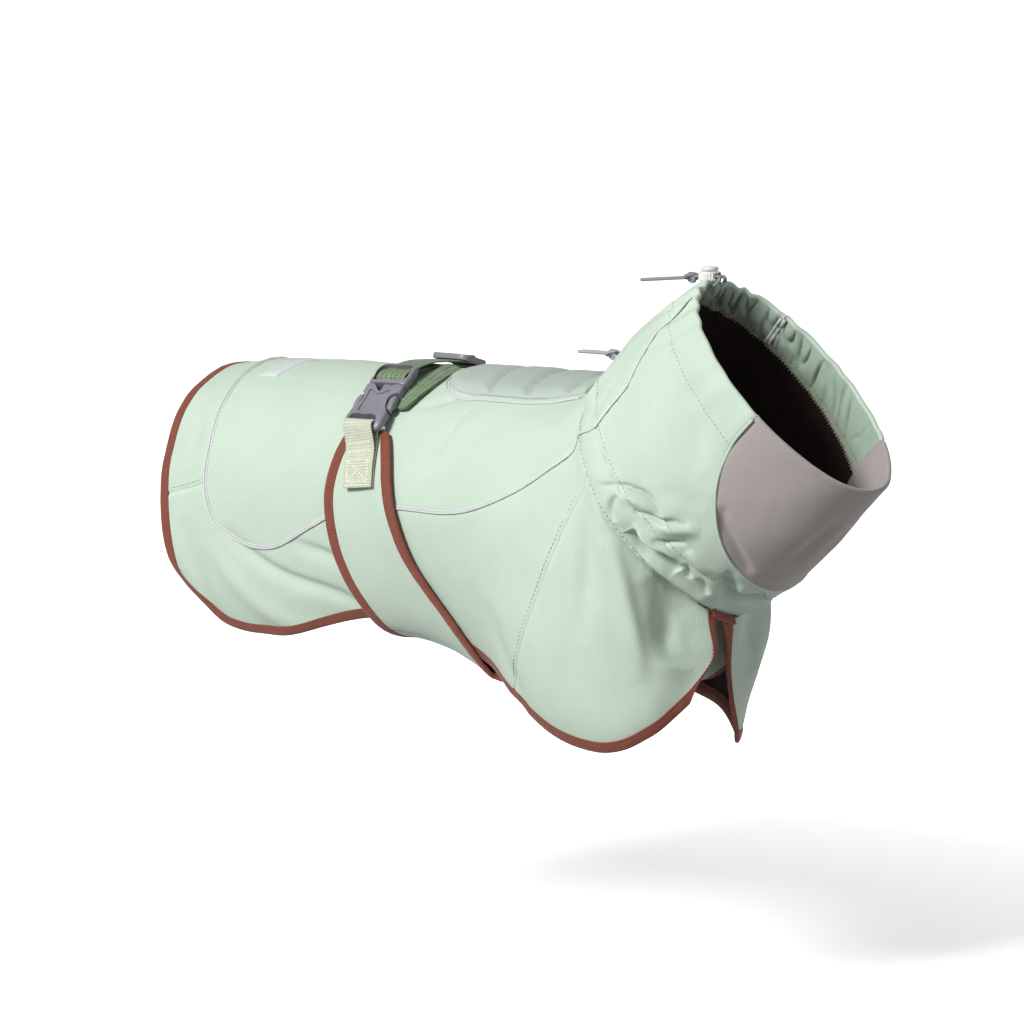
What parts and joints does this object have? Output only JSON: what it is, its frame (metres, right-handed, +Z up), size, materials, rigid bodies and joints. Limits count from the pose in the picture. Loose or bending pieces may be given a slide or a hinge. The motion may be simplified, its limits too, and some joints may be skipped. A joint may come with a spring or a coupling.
{
  "type": "dog softshell jacket",
  "caption": "Softshell dog jacket with a high stretch-throat collar, quilted yoke, bound hems, wrap belly belt with a side-release buckle, and drawcords.",
  "frame": {"origin": "on the spine under the buckle belt, at the back panel's outer face, where the wearer's back holds the jacket up", "axes": "+X from the tail to the head, +Y to the dog's left, +Z up"},
  "size_m": [0.5668, 0.1905, 0.3221],
  "materials": {
    "softshell": "matt woven softshell, pale mint, brown fleece inside",
    "throat_jersey": "matt knitted stretch cloth, warm grey",
    "binding": "matt folded binding, red brown",
    "reflective_piping": "satin reflective piping, light grey",
    "yoke": "matt quilted softshell, grey mint",
    "patch": "smooth bonded patch, plain",
    "pale_webbing": "woven webbing, pale green",
    "green_webbing": "woven webbing, moss green",
    "buckle_plastic": "satin moulded plastic, mid grey",
    "lock_plastic": "satin moulded plastic, off white",
    "cord": "braided round cord, dark grey"
  },
  "bodies": {
    "root": {"back_panel": "softshell", "back_piping_L": "reflective_piping", "back_piping_R": "reflective_piping", "belly_panel": "softshell", "belt_L": "softshell", "belt_R": "softshell", "belt_binding_front_L": "binding", "belt_binding_front_R": "binding", "belt_binding_rear": "binding", "belt_loop": "pale_webbing", "buckle_female": "buckle_plastic", "buckle_male": "buckle_plastic", "chest_bib": "softshell", "collar_back": "softshell", "collar_cord_L": "cord", "collar_cord_R": "cord", "collar_cord_knot": "cord", "collar_facing": "softshell", "collar_lock_body": "lock_plastic", "collar_lock_button": "lock_plastic", "collar_piping_L": "reflective_piping", "collar_piping_R": "reflective_piping", "collar_side_L": "softshell", "collar_side_R": "softshell", "front_flap_L": "softshell", "front_flap_R": "softshell", "hem_binding_L": "binding", "hem_binding_R": "binding", "nape_cord_L": "cord", "nape_cord_R": "cord", "nape_cord_knot": "cord", "neck_tunnel": "softshell", "rump_panel": "softshell", "rump_patch": "patch", "side_panel_L": "softshell", "side_panel_R": "softshell", "slit_bridge": "binding", "strap_back": "green_webbing", "strap_tail": "green_webbing", "throat_facing": "throat_jersey", "throat_panel": "throat_jersey", "throat_piping": "softshell", "tri_glide": "buckle_plastic", "yoke_pad": "yoke", "yoke_piping": "reflective_piping"}
  },
  "joints": []
}
